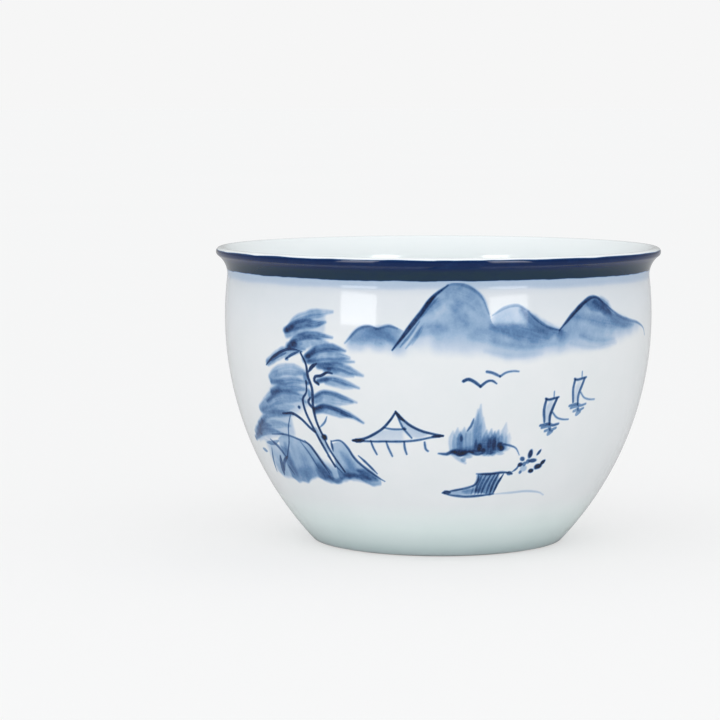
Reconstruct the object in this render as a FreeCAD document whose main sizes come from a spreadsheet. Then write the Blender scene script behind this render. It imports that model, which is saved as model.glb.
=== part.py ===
import FreeCAD, Part
import math
import os
import Sketcher

# Teacup in white porcelain with a flared, blue-banded lip and a landscape painted in cobalt under
# the glaze. Axis on Z, foot on Z = 0, the painted front facing -Y. Millimetres.
# Each motif is the patch of glaze that the cobalt below it has stained, through its full thickness.

DOC = FreeCAD.newDocument("teacup")
SHEET = DOC.addObject("Spreadsheet::Sheet", "sheet")

DIMS = {
    "rim_diameter": 77.0,      # over the lip
    "cup_height": 51.0,
    "belly_radius": 37.0,      # widest radius of the wall below the neck
    "belly_height": 39.0,
    "wall_curve": 57.0,        # radius of the one arc that the outside wall follows
    "flare_curve": 4.0,        # hollow curve under the lip
    "lip_round": 0.8,
    "wall_thick": 2.5,
    "inner_flare_curve": 9.0,
    "corner_curve": 11.0,      # inside, between wall and floor
    "floor_curve": 60.0,       # slight dish of the inside floor
    "floor_top": 5.0,
    "foot_round": 1.2,
    "foot_inner_radius": 18.2,
    "foot_inner_round": 0.6,
    "recess_depth": 1.8,
    "recess_round": 0.8,
    "glaze_thick": 0.3,
    "glaze_start": 0.25,       # height where the outside glaze stops, just clear of the table
    "band_bottom": 47.0,
    "band_top": 50.5,
    "brush_reach": 45.0,       # how far a motif's outline is carried out from the axis
}


def fill_sheet():
    for row, (name, value) in enumerate(DIMS.items(), 1):
        SHEET.set("A%d" % row, name)
        SHEET.set("B%d" % row, str(value))
        SHEET.setAlias("B%d" % row, name)
    DOC.recompute()


def meet(first, reach_first, second, reach_second, side):
    """The point at the given reaches from two centres, on the left (+1) or right (-1) of the line."""
    dx, dy = second[0] - first[0], second[1] - first[1]
    gap = math.hypot(dx, dy)
    along = (gap ** 2 + reach_first ** 2 - reach_second ** 2) / (2 * gap)
    off = side * math.sqrt(reach_first ** 2 - along ** 2)
    return (first[0] + (along * dx - off * dy) / gap, first[1] + (along * dy + off * dx) / gap)


def heading(start, end):
    return math.atan2(end[1] - start[1], end[0] - start[0])


D = DIMS
WALL = (D["belly_radius"] - D["wall_curve"], D["belly_height"])
LIP = (D["rim_diameter"] / 2 - D["lip_round"], D["cup_height"] - D["lip_round"])
FLARE = meet(WALL, D["wall_curve"] + D["flare_curve"], LIP, D["flare_curve"] + D["lip_round"], -1)
INNER_WALL = D["wall_curve"] - D["wall_thick"]
INNER_FLARE = meet(WALL, INNER_WALL + D["inner_flare_curve"], LIP,
                   D["inner_flare_curve"] - D["lip_round"], -1)
FLOOR = (0.0, D["floor_top"] + D["floor_curve"])
CORNER = meet(WALL, INNER_WALL - D["corner_curve"], FLOOR, D["floor_curve"] - D["corner_curve"], -1)
TOE_REACH = D["wall_curve"] - D["glaze_thick"] - D["foot_round"]
TOE = (WALL[0] + math.sqrt(TOE_REACH ** 2 - (D["foot_round"] - WALL[1]) ** 2), D["foot_round"])


def wall_radius(height):
    """Radius of the outside wall at a height."""
    return WALL[0] + math.sqrt(D["wall_curve"] ** 2 - (height - WALL[1]) ** 2)


def height_angle(centre, radius, height):
    """Heading, seen from a centre on the axis side, of the point of an arc at a height."""
    return math.asin((height - centre[1]) / radius)


def at(centre, radius, angle):
    return (centre[0] + radius * math.cos(angle), centre[1] + radius * math.sin(angle))


class Outline:
    """A closed chain of lines and arcs in the half plane X = radius, Y = height."""

    def __init__(self, body, name):
        self.sketch = body.newObject("Sketcher::SketchObject", name)
        plane = next(p for p in body.Origin.OriginFeatures if p.Role == "XZ_Plane")
        self.sketch.AttachmentSupport = [(plane, "")]
        self.sketch.MapMode = "FlatFace"
        self.pieces = []

    def hold(self, kind, where, value, formula):
        index = self.sketch.addConstraint(Sketcher.Constraint(kind, *where, value))
        self.sketch.setExpression("Constraints[%d]" % index, formula)

    def line(self, start, end):
        edge = Part.LineSegment(FreeCAD.Vector(*start, 0), FreeCAD.Vector(*end, 0))
        index = self.sketch.addGeometry(edge)
        self.pieces.append((index, 1, 2))
        return index

    def arc(self, centre, radius, start, end, sense, formula):
        """An arc between two headings, counterclockwise for sense +1; its radius is held."""
        low, high = (start, end) if sense > 0 else (end, start)
        high = low + (high - low) % (2 * math.pi)
        circle = Part.Circle(FreeCAD.Vector(*centre, 0), FreeCAD.Vector(0, 0, 1), radius)
        index = self.sketch.addGeometry(Part.ArcOfCircle(circle, low, high))
        self.pieces.append((index, 1, 2) if sense > 0 else (index, 2, 1))
        self.hold("Radius", (index,), radius, formula)
        if centre == WALL:
            self.hold("DistanceX", (index, 3), WALL[0], "sheet.belly_radius - sheet.wall_curve")
            self.hold("DistanceY", (index, 3), WALL[1], "sheet.belly_height")
        if centre == LIP:
            self.hold("DistanceX", (index, 3), LIP[0], "sheet.rim_diameter / 2 - sheet.lip_round")
            self.hold("DistanceY", (index, 3), LIP[1], "sheet.cup_height - sheet.lip_round")

    def curve(self, arc, start):
        """A free arc given by its curve, entered at the start."""
        index = self.sketch.addGeometry(arc)
        ahead = self.sketch.getPoint(index, 1).distanceToPoint(start) < 1e-6
        self.pieces.append((index, 1, 2) if ahead else (index, 2, 1))

    def join(self, smooth=False):
        """Close the chain; with smooth, neighbouring arcs are tangent."""
        for (a, _, a_end), (b, b_start, _) in zip(self.pieces, self.pieces[1:] + self.pieces[:1]):
            arcs = all(hasattr(self.sketch.Geometry[i], "Radius") for i in (a, b))
            kind = "Tangent" if arcs and smooth else "Coincident"
            self.sketch.addConstraint(Sketcher.Constraint(kind, a, a_end, b, b_start))


def inside(outline, inset, sense):
    """The inside surface moved into the clay, from the crest of the lip down to the axis."""
    steps = [
        (INNER_FLARE, D["inner_flare_curve"] - inset[0], heading(INNER_FLARE, LIP),
         heading(INNER_FLARE, WALL), 1, "sheet.inner_flare_curve - (%s)" % inset[1]),
        (WALL, INNER_WALL + inset[0], heading(WALL, INNER_FLARE), heading(WALL, CORNER), -1,
         "sheet.wall_curve - sheet.wall_thick + (%s)" % inset[1]),
        (CORNER, D["corner_curve"] + inset[0], heading(WALL, CORNER), heading(FLOOR, CORNER), -1,
         "sheet.corner_curve + (%s)" % inset[1]),
        (FLOOR, D["floor_curve"] + inset[0], heading(FLOOR, CORNER), -math.pi / 2, -1,
         "sheet.floor_curve + (%s)" % inset[1]),
    ]
    draw_chain(outline, steps, sense)


def draw_chain(outline, steps, sense):
    if sense > 0:
        for step in steps:
            outline.arc(*step)
    else:
        for centre, radius, start, end, turn, formula in reversed(steps):
            outline.arc(centre, radius, end, start, -turn, formula)


def recess(outline, inset, low, sense):
    """Ceiling, corner and side of the recess under the foot, moved into the clay by an inset."""
    ceiling, side = D["recess_depth"] + inset[0], D["foot_inner_radius"] + inset[0]
    bend = D["recess_round"] + inset[0]
    corner = (side - bend, ceiling - bend)
    turn = (corner, bend, math.pi / 2, 0.0, -1, "sheet.recess_round + (%s)" % inset[1])
    ends = [(0.0, ceiling), (corner[0], ceiling)], [(side, corner[1]), (side, low)]
    if sense > 0:
        outline.line(*ends[0])
        outline.arc(*turn)
        outline.line(*ends[1])
    else:
        outline.line(*reversed(ends[1]))
        draw_chain(outline, [turn], -1)
        outline.line(*reversed(ends[0]))


# An inset is a distance into the clay from the finished surface, with its formula.
SURFACE = (0.0, "0")
CLAY = (D["glaze_thick"], "sheet.glaze_thick")


def clay_outline(outline):
    """Foot ring, outside, lip, inside and floor of the bare clay."""
    side, edge = D["foot_inner_radius"] + CLAY[0], D["foot_inner_round"]
    recess(outline, CLAY, edge, 1)
    outline.arc((side + edge, edge), edge, math.pi, 1.5 * math.pi, 1, "sheet.foot_inner_round")
    outline.line((side + edge, 0.0), (TOE[0], 0.0))
    outline.arc(TOE, D["foot_round"], -math.pi / 2, heading(WALL, TOE), 1, "sheet.foot_round")
    outline.arc(WALL, D["wall_curve"] - CLAY[0], heading(WALL, TOE), heading(WALL, FLARE), 1,
                "sheet.wall_curve - sheet.glaze_thick")
    outline.arc(FLARE, D["flare_curve"] + CLAY[0], heading(FLARE, WALL), heading(FLARE, LIP), -1,
                "sheet.flare_curve + sheet.glaze_thick")
    outline.arc(LIP, D["lip_round"] - CLAY[0], heading(LIP, FLARE), heading(INNER_FLARE, LIP), 1,
                "sheet.lip_round - sheet.glaze_thick")
    inside(outline, CLAY, 1)
    outline.line((0.0, D["floor_top"] - CLAY[0]), (0.0, D["recess_depth"] + CLAY[0]))


def wall_glaze_outline(outline):
    """Glaze on the outside wall, from just above the table to the blue band."""
    foot = height_angle(WALL, D["wall_curve"], D["glaze_start"])
    top = math.pi - height_angle(FLARE, D["flare_curve"], D["band_bottom"])

    def coat(inset):
        return [(WALL, D["wall_curve"] - inset[0], foot, heading(WALL, FLARE), 1,
                 "sheet.wall_curve - (%s)" % inset[1]),
                (FLARE, D["flare_curve"] + inset[0], heading(FLARE, WALL), top, -1,
                 "sheet.flare_curve + (%s)" % inset[1])]
    draw_chain(outline, coat(SURFACE), 1)
    outline.line(at(FLARE, D["flare_curve"], top), at(FLARE, D["flare_curve"] + CLAY[0], top))
    draw_chain(outline, coat(CLAY), -1)
    outline.line(at(WALL, D["wall_curve"] - CLAY[0], foot), at(WALL, D["wall_curve"], foot))


def band_outline(outline):
    """The blue coat on the upper flare and the outer half of the lip."""
    low = math.pi - height_angle(FLARE, D["flare_curve"], D["band_bottom"])
    high = height_angle(LIP, D["lip_round"], D["band_top"])

    def coat(inset):
        return [(FLARE, D["flare_curve"] + inset[0], low, heading(FLARE, LIP), -1,
                 "sheet.flare_curve + (%s)" % inset[1]),
                (LIP, D["lip_round"] - inset[0], heading(LIP, FLARE), high, 1,
                 "sheet.lip_round - (%s)" % inset[1])]
    draw_chain(outline, coat(SURFACE), 1)
    outline.line(at(LIP, D["lip_round"], high), at(LIP, D["lip_round"] - CLAY[0], high))
    draw_chain(outline, coat(CLAY), -1)
    outline.line(at(FLARE, D["flare_curve"] + CLAY[0], low), at(FLARE, D["flare_curve"], low))


def inner_glaze_outline(outline):
    """Clear glaze over the crest of the lip and down the whole inside."""
    start = height_angle(LIP, D["lip_round"], D["band_top"])
    crest = heading(INNER_FLARE, LIP)
    outline.arc(LIP, D["lip_round"], start, crest, 1, "sheet.lip_round")
    inside(outline, SURFACE, 1)
    outline.line((0.0, D["floor_top"]), (0.0, D["floor_top"] - CLAY[0]))
    inside(outline, CLAY, -1)
    outline.arc(LIP, D["lip_round"] - CLAY[0], crest, start, -1,
                "sheet.lip_round - sheet.glaze_thick")
    outline.line(at(LIP, D["lip_round"] - CLAY[0], start), at(LIP, D["lip_round"], start))


def base_glaze_outline(outline):
    """Clear glaze on the ceiling and side of the recess, stopping short of the foot's edge."""
    low = D["foot_inner_round"] + 0.2
    recess(outline, CLAY, low, 1)
    outline.line((D["foot_inner_radius"] + CLAY[0], low), (D["foot_inner_radius"], low))
    recess(outline, SURFACE, low, -1)
    outline.line((0.0, D["recess_depth"]), (0.0, D["recess_depth"] + CLAY[0]))


def revolved(name, draw):
    """A body made by turning one outline about the Z axis."""
    body = DOC.addObject("PartDesign::Body", name)
    outline = Outline(body, name + "_outline")
    draw(outline)
    outline.join(smooth=True)
    DOC.recompute()
    turned = body.newObject("PartDesign::Revolution", name + "_turned")
    turned.Profile = outline.sketch
    turned.ReferenceAxis = (outline.sketch, ["V_Axis"])
    turned.Angle = 360
    DOC.recompute()
    return body


# --- painted motifs ------------------------------------------------------------------------------
# A motif's outline is walked in (degrees round the cup, height): 0 degrees is the front, growing to
# the right as one faces the cup. A step is a point to draw a line to, or a pair of points: an arc
# through the first to the second.

def last_place(steps):
    """Where a walk ends: its last step is a point, or the second point of an arc."""
    return steps[-1][1] if isinstance(steps[-1][0], tuple) else steps[-1]


def motif(name, centre, start, steps, glaze):
    """The part of the wall's glaze that lies behind an outline."""
    def flat(place):
        turn = math.radians(place[0] - centre)
        return FreeCAD.Vector(wall_radius(place[1]) * math.sin(turn), place[1], 0)

    body = DOC.addObject("PartDesign::Body", name + "_reach")
    outline = Outline(body, name + "_outline")
    last = start
    for step in steps if last_place(steps) == start else steps + [start]:
        if isinstance(step[0], tuple):
            outline.curve(Part.Arc(flat(last), flat(step[0]), flat(step[1])), flat(last))
        else:
            outline.line(tuple(flat(last))[:2], tuple(flat(step))[:2])
        last = last_place([step])
    outline.join()
    DOC.recompute()
    reach = body.newObject("PartDesign::Pad", name + "_pad")
    reach.Profile = outline.sketch
    reach.setExpression("Length", "sheet.brush_reach")
    body.Placement = FreeCAD.Placement(
        FreeCAD.Vector(), FreeCAD.Rotation(FreeCAD.Vector(0, 0, 1), centre))
    DOC.recompute()
    return boolean("Part::Common", name, glaze, body)


def boolean(kind, name, base, tool):
    cut = DOC.addObject(kind, name)
    cut.Base, cut.Tool = base, tool
    DOC.recompute()
    return cut


def mountain_range(glaze):
    """Low double hump, steep main peak up to the band, a rounded hump, a sharp peak and its tail."""
    return motif("mountain_range", 24, (-24, 37), [
        ((-19, 40), (-15, 39.5)), ((-12, 40.5), (-8, 39)), (-4, 42), (3, 47.4), (8, 47.4),
        ((12, 45), (14, 41.5)), ((21, 43.2), (32, 39)), (38, 42.5), ((45, 44), (51, 41.5)),
        (58, 40), (72, 38), (72, 36.5), (46, 36), (18, 34.5), (8, 34.5), (-10, 35), (-18, 35.5),
    ], glaze)


def pine_tree(glaze):
    """Slanting trunk with stepped pads of needles on both sides."""
    return motif("pine_tree", -36, (-33, 21.5), [
        (-36, 22), (-46, 24), (-54, 24), (-54, 27), (-49, 29), (-49, 32), (-43, 33), (-51, 32.5),
        (-41, 36), (-43, 39), (-35, 41), (-28, 42), (-29, 38.5), (-24, 36), (-30, 35), (-20, 32.5),
        (-21, 30), (-31, 30), (-22, 27.5), (-21, 24.5), (-30, 25.5), (-33, 23.5),
    ], glaze)


def rocks(glaze):
    """Two leaning rocks at the foot of the pine."""
    return motif("rocks", -38, (-58, 13), [
        ((-61, 16), (-56, 19.5)), (-48, 20.5), (-42, 21), (-31, 20.5), ((-25, 19.5), (-22, 16)),
        (-18, 14), (-24, 14), (-31, 13.5), (-40, 13), (-49, 12.5),
    ], glaze)


def pavilion(glaze):
    """Roof swept up to a point, with four posts below the eaves."""
    steps = [((-17, 22), (-11, 26)), ((-5, 22.8), (1.5, 22.2)), (-2.4, 21.4)]
    for post in range(4):
        top = -2.4 - 5.1 * post
        steps += [(top + 0.5, 19), (top - 0.4, 19), (top - 0.9, 21.2)]
    return motif("pavilion", -11, (-24, 20.8), steps, glaze)


def islet_grove(glaze):
    """Row of small trees on a low islet, one of them a tall spire."""
    return motif("islet_grove", 11, (0.5, 18.6), [
        (4, 19.4), (5, 22.5), (9, 23.5), (11, 27), (13, 23.5), (18, 23.5), (20.5, 22.5),
        (21.5, 19.4), ((12, 18), (4, 18)),
    ], glaze)


def shrub(glaze):
    """Round bush beside the path."""
    return motif("shrub", 29, (24.5, 17), [((29, 19.3), (33.5, 17)), ((29, 14.8), (24.5, 17))], glaze)


def shore_bank(glaze):
    """Hatched bank running out to a point on the water."""
    return motif("shore_bank", 12, (11.5, 15.5), [
        (23, 15.4), (20, 15), (18, 11.6), (6.5, 11.4), (1.8, 12.2), (8, 13), (11.5, 13.6),
    ], glaze)


def boat(name, left, keel, glaze):
    """Narrow sail, gathered at the waist, over a small hull."""
    places = [(0, 5.6), (4, 5.6), (2.5, 3.5), (3, 1.5), (6, 1.3), (4.5, 0), (1.5, 0.2), (0, 1.1),
              (1.3, 2)]
    outline = [(left + step, keel + rise) for step, rise in places]
    return motif(name, left + 3, outline[0], outline[1:], glaze)


def bird(name, left, height, glaze):
    """Two spread wings in one thin stroke."""
    places = [(0, 0), (2, 0.6), (4.6, -0.6), (7, 0.5), (9, 0), (7, 0.1), (4.6, -1), (2, 0.2)]
    outline = [(left + step, height + rise) for step, rise in places]
    return motif(name, left + 4.5, outline[0], outline[1:], glaze)


# --- assembly ------------------------------------------------------------------------------------

def build():
    fill_sheet()
    wall = revolved("wall_glaze", wall_glaze_outline)
    painted = [
        mountain_range(wall), pine_tree(wall), rocks(wall), pavilion(wall), islet_grove(wall),
        shrub(wall), shore_bank(wall),
        boat("boat_near", 29, 22, wall), boat("boat_far", 38, 25, wall),
        bird("bird_low", 6.2, 31, wall), bird("bird_high", 12.6, 32.9, wall),
    ]
    paint = DOC.addObject("Part::Compound", "all_motifs")
    paint.Links = painted
    DOC.recompute()
    return painted + [
        boolean("Part::Cut", "outer_glaze", wall, paint),
        revolved("porcelain_body", clay_outline),
        revolved("rim_band", band_outline),
        revolved("inner_glaze", inner_glaze_outline),
        revolved("base_glaze", base_glaze_outline),
    ]


def check(nodes):
    for obj in DOC.Objects:
        if "Invalid" in obj.State or "Error" in obj.State:
            raise RuntimeError("%s is %s" % (obj.Name, obj.State))
    for node in nodes:
        if node.Shape.isNull() or not node.Shape.isValid() or len(node.Shape.Solids) != 1:
            raise RuntimeError("%s is not one valid solid" % node.Label)


NODES = build()
check(NODES)
os.makedirs("parts", exist_ok=True)
for node in NODES:
    node.Shape.exportStep("parts/%s.step" % node.Label)
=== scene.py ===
import math

import bpy
import numpy as np
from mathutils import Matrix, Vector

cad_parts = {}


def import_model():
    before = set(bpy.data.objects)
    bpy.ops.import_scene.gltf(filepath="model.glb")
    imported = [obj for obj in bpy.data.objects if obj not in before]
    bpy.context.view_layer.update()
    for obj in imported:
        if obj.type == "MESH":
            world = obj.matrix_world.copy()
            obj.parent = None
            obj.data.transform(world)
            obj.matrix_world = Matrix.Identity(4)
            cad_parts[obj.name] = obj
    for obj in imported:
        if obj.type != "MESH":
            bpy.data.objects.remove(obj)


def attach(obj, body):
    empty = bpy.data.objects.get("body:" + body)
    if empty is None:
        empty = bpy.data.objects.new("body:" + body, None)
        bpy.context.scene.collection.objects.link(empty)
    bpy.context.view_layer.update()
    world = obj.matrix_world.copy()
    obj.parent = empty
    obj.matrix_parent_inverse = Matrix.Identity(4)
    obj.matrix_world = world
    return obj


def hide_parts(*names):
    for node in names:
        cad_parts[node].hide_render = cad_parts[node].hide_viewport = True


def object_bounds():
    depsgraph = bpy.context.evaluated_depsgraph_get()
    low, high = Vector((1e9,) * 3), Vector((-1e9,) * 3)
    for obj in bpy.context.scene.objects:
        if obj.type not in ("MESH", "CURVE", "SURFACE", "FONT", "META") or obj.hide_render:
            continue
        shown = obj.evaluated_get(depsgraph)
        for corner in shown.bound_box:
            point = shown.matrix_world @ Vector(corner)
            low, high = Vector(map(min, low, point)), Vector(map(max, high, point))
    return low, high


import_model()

# A porcelain teacup: glaze, blue lip band and a landscape brushed in cobalt, laid over the frame.
# Shapes and strokes are given in millimetres and in degrees round the cup: 0 is the front (-Y),
# growing to the right as one faces it. S turns millimetres into metres.

CAD_LO, CAD_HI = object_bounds()
HEIGHT = 51.0
S = (CAD_HI.z - CAD_LO.z) / HEIGHT
RIM = (CAD_HI.x - CAD_LO.x) / 2 / S

# --- the cup's section: centres and radii of its arcs -------------------------------------------

WALL, WALL_R = (-20.0, 39.0), 57.0
LIP, LIP_R = (RIM - 0.8, 50.2), 0.8
FLARE_R, INNER_R, INNER_FLARE_R, CORNER_R, FLOOR_R = 4.0, 54.5, 9.0, 11.0, 60.0
FLOOR = (0.0, 5.0 + FLOOR_R)
GLAZE = 0.3
GLAZE_LOW, BAND_LOW, BAND_HIGH = 0.25, 47.0, 50.5
RECESS = (1.8, 18.2, 0.8)      # ceiling height, radius and bend under the foot
TOE, INNER_TOE = 1.2, 0.6


def meet(a, ra, b, rb):
    """The lower right of the two points at the given reaches from two centres."""
    dx, dy = b[0] - a[0], b[1] - a[1]
    gap = math.hypot(dx, dy)
    u = (gap * gap + ra * ra - rb * rb) / (2 * gap)
    v = math.sqrt(ra * ra - u * u)
    return (a[0] + (u * dx + v * dy) / gap, a[1] + (u * dy - v * dx) / gap)


def way(a, b):
    return math.atan2(b[1] - a[1], b[0] - a[0])


FLARE = meet(WALL, WALL_R + FLARE_R, LIP, FLARE_R + LIP_R)
INNER_FLARE = meet(WALL, INNER_R + INNER_FLARE_R, LIP, INNER_FLARE_R - LIP_R)
CORNER = meet(WALL, INNER_R - CORNER_R, FLOOR, FLOOR_R - CORNER_R)


def arc(centre, radius, start, end, step=0.5):
    """Points along an arc between two headings, the way the sign of end - start says."""
    n = max(2, int(math.ceil(abs(end - start) * radius / step)))
    t = np.linspace(start, end, n + 1)
    return np.stack([centre[0] + radius * np.cos(t), centre[1] + radius * np.sin(t)], 1)


def chain(*runs):
    """Runs of points end to end, with the doubled joints left out."""
    out = [runs[0]]
    for run in runs[1:]:
        out.append(run[1:] if np.hypot(*(run[0] - out[-1][-1])) < 1e-6 else run)
    return np.concatenate(out)


def wall_r(z):
    """Outside radius at a height: the wall's arc, then the hollow flare under the lip."""
    z = np.asarray(z, float)
    turn = WALL[1] + WALL_R * math.sin(way(WALL, FLARE))
    low = WALL[0] + np.sqrt(WALL_R ** 2 - (np.minimum(z, turn) - WALL[1]) ** 2)
    high = FLARE[0] - np.sqrt(np.maximum(FLARE_R ** 2 - (np.maximum(z, turn) - FLARE[1]) ** 2, 0))
    return np.where(z <= turn, low, high)


def wall_normal(z):
    """Radial and upward parts of the outside normal at a height."""
    z = np.asarray(z, float)
    turn = WALL[1] + WALL_R * math.sin(way(WALL, FLARE))
    r = wall_r(z)
    low = np.stack([r - WALL[0], z - WALL[1]], -1) / WALL_R
    high = np.stack([FLARE[0] - r, FLARE[1] - z], -1) / FLARE_R
    return np.where((z <= turn)[..., None], low, high)


# --- noise --------------------------------------------------------------------------------------

OCTAVES = 3


def lattice(ix, iy, seed):
    """A repeatable number from 0 to 1 for each whole x and y."""
    h = (ix * 374761393 + iy * 668265263 + seed * 974634777) & 0xFFFFFFFF
    h = ((h ^ (h >> 13)) * 1274126177) & 0xFFFFFFFF
    return ((h ^ (h >> 16)) & 0xFFFF) / 65535.0


def noise(x, y, seed):
    """Smooth value noise from 0 to 1."""
    x, y = np.broadcast_arrays(np.asarray(x, float), np.asarray(y, float))
    ix, iy = (np.floor(v).astype(np.int64) for v in (x, y))
    fx, fy = (f * f * (3 - 2 * f) for f in (x - ix, y - iy))
    out = 0.0
    for cx in (0, 1):
        for cy in (0, 1):
            weight = (fx if cx else 1 - fx) * (fy if cy else 1 - fy)
            out = out + weight * lattice(ix + cx, iy + cy, seed)
    return out


def clouds(x, y, seed):
    """Noise with finer, fainter noise laid on it, from 0 to 1."""
    total, size = 0.0, 0.0
    for k in range(OCTAVES):
        total = total + noise(x * 2 ** k, y * 2 ** k, seed + k) / 2 ** k
        size += 1 / 2 ** k
    return total / size


def ease(low, high, x):
    """A smooth rise from 0 at low to 1 at high."""
    t = np.clip((x - low) / (high - low), 0, 1)
    return t * t * (3 - 2 * t)


# --- brush --------------------------------------------------------------------------------------

class Paper:
    """Ink laid on points of the wall, from 0 (bare glaze) to 1 (deepest blue)."""

    TAPER_RUN = 0.3       # share of a stroke's length over which each end narrows
    WOBBLE = 0.22         # how unevenly the hand presses
    POOL_WIDTH = 0.12     # how far in from a stroke's edge the ink pools, in mm
    FULL_WIDTH = 1.6      # strokes this wide and wider are fully mottled
    MOTTLE = 0.7
    OVAL_SEED = 5

    def __init__(self, angle, z):
        self.a, self.z = angle, z
        self.ink = np.zeros_like(angle)
        self.strokes = 0

    def lay(self, where, amount):
        self.ink[where] = 1 - (1 - self.ink[where]) * (1 - np.clip(amount, 0, 1))

    def near(self, points, margin):
        """Indices of the points of the wall within a margin in millimetres of a run of points."""
        lo, hi = points.min(0), points.max(0)
        wide = margin / (math.radians(1) * float(wall_r(lo[1])))
        return np.nonzero((self.a > lo[0] - wide) & (self.a < hi[0] + wide)
                          & (self.z > lo[1] - margin) & (self.z < hi[1] + margin))[0]

    def stroke(self, points, width, load, taper=(0.35, 0.35), edge=0.10, dry=0.25, pool=0.15):
        """One pull of a brush through the points. load: ink, taper: share of the width left at
        each end, edge: softness in mm, dry: how much the bristles show, pool: how dark the
        edge dries."""
        self.strokes += 1
        seed = 100 + self.strokes
        path = spline(np.array(points, float))
        where = self.near(path, width / 2 + edge * 2 + 0.2)
        if not len(where):
            return
        a, z = self.a[where][:, None], self.z[where][:, None]
        p, q = path[:-1], path[1:]
        scale = math.radians(1) * wall_r((p[:, 1] + q[:, 1]) / 2)
        dx, dz = (q[:, 0] - p[:, 0]) * scale, q[:, 1] - p[:, 1]
        px, pz = (a - p[:, 0]) * scale, z - p[:, 1]
        length = np.hypot(dx, dz) + 1e-9
        t = np.clip((px * dx + pz * dz) / length ** 2, 0, 1)
        away = np.hypot(px - t * dx, pz - t * dz)
        best = away.argmin(1)
        rows = np.arange(len(where))
        travelled = np.concatenate([[0], np.cumsum(length)])
        along = travelled[best] + t[rows, best] * length[best]
        share = along / travelled[-1]
        side = np.sign(px * dz - pz * dx)[rows, best]
        away = away[rows, best]
        body = np.minimum(1, np.minimum(taper[0] + (1 - taper[0]) * share / self.TAPER_RUN,
                                        taper[1] + (1 - taper[1]) * (1 - share) / self.TAPER_RUN))
        wobble = 1 + self.WOBBLE * (noise(along * 0.9, side * 3.3, seed) - 0.5)
        half = width / 2 * body * wobble
        cover = 1 - ease(half - edge, half + edge, away)
        bristle = noise(along * 0.35, side * away * 7.0 + 40, seed + 7)
        fade = 1 - dry * (0.35 + 0.65 * share) * ease(0.35, 0.9, bristle)
        rim = 1 + pool * np.exp(-((half - away) / self.POOL_WIDTH) ** 2) - pool * 0.4
        blotch = self.MOTTLE * min(width, self.FULL_WIDTH) / self.FULL_WIDTH
        mottle = 1 + blotch * (clouds(self.a[where] * 0.7, self.z[where] * 1.1, seed) - 0.5)
        self.lay(where, load * cover * fade * rim * mottle)

    def wash(self, ridge, foot, top, bottom, seed, fade, sharp=0.12, streak=0.2, ends=(1.5, 1.5)):
        """Thin ink from a ridge line down to a foot line, dying away over the last fade millimetres
        and over some degrees at each end. top and bottom: ink at the two lines, sharp: softness
        of the ridge in mm, streak: how cloudy it is."""
        line, base = spline(np.array(ridge, float)), spline(np.array(foot, float))
        where = np.nonzero((self.a > line[0, 0]) & (self.a < line[-1, 0])
                           & (self.z > base[:, 1].min() - 1.5) & (self.z < line[:, 1].max() + 0.5))[0]
        a, z = self.a[where], self.z[where]
        crest = np.interp(a, line[:, 0], line[:, 1])
        low = np.interp(a, base[:, 0], base[:, 1]) + 1.6 * (clouds(a * 0.2, z * 0.25, seed) - 0.5)
        share = np.clip((crest - z) / np.maximum(crest - low, 0.5), 0, 1)
        tone = top + (bottom - top) * share
        tone = tone * ease(0, 1, (z - low) / fade)
        tone = tone * (1 - streak + 2 * streak * clouds(a * 0.45, z * 0.5, seed + 5))
        sides = ease(0, ends[0], a - line[0, 0]) * ease(0, ends[1], line[-1, 0] - a)
        self.lay(where, tone * ease(-sharp, sharp, crest - z) * sides)

    def dab(self, angle, z, width, height, load, soft, tilt=0.0):
        """A soft oval touch of a full brush."""
        place = np.array([[angle, z]], float)
        where = self.near(place, max(width, height))
        x = (self.a[where] - angle) * math.radians(1) * float(wall_r(z))
        y = self.z[where] - z
        x = x + y * tilt
        r = np.hypot(x / (width / 2), y / (height / 2))
        r = r + 0.35 * (clouds(x * 1.3 + angle, y * 1.3 + z, self.OVAL_SEED) - 0.5)
        self.lay(where, load * (1 - ease(1 - soft, 1 + soft, r)))


SPLINE_STEP = 0.35


def spline(points):
    """A smooth run of points through the given ones (Catmull-Rom)."""
    if len(points) == 2:
        n = max(2, int(np.hypot(*(points[1] - points[0])) / SPLINE_STEP))
        return points[0] + (points[1] - points[0]) * np.linspace(0, 1, n + 1)[:, None]
    ends = np.concatenate([[2 * points[0] - points[1]], points, [2 * points[-1] - points[-2]]])
    out = []
    for p0, p1, p2, p3 in zip(ends[:-3], ends[1:-2], ends[2:-1], ends[3:]):
        n = max(2, int(np.hypot(*(p2 - p1)) / SPLINE_STEP))
        t = np.linspace(0, 1, n, endpoint=False)[:, None]
        out.append(0.5 * (2 * p1 + (p2 - p0) * t + (2 * p0 - 5 * p1 + 4 * p2 - p3) * t ** 2
                          + (3 * p1 - p0 - 3 * p2 + p3) * t ** 3))
    return np.concatenate(out + [points[-1:]])


# --- the landscape ------------------------------------------------------------------------------

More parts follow.
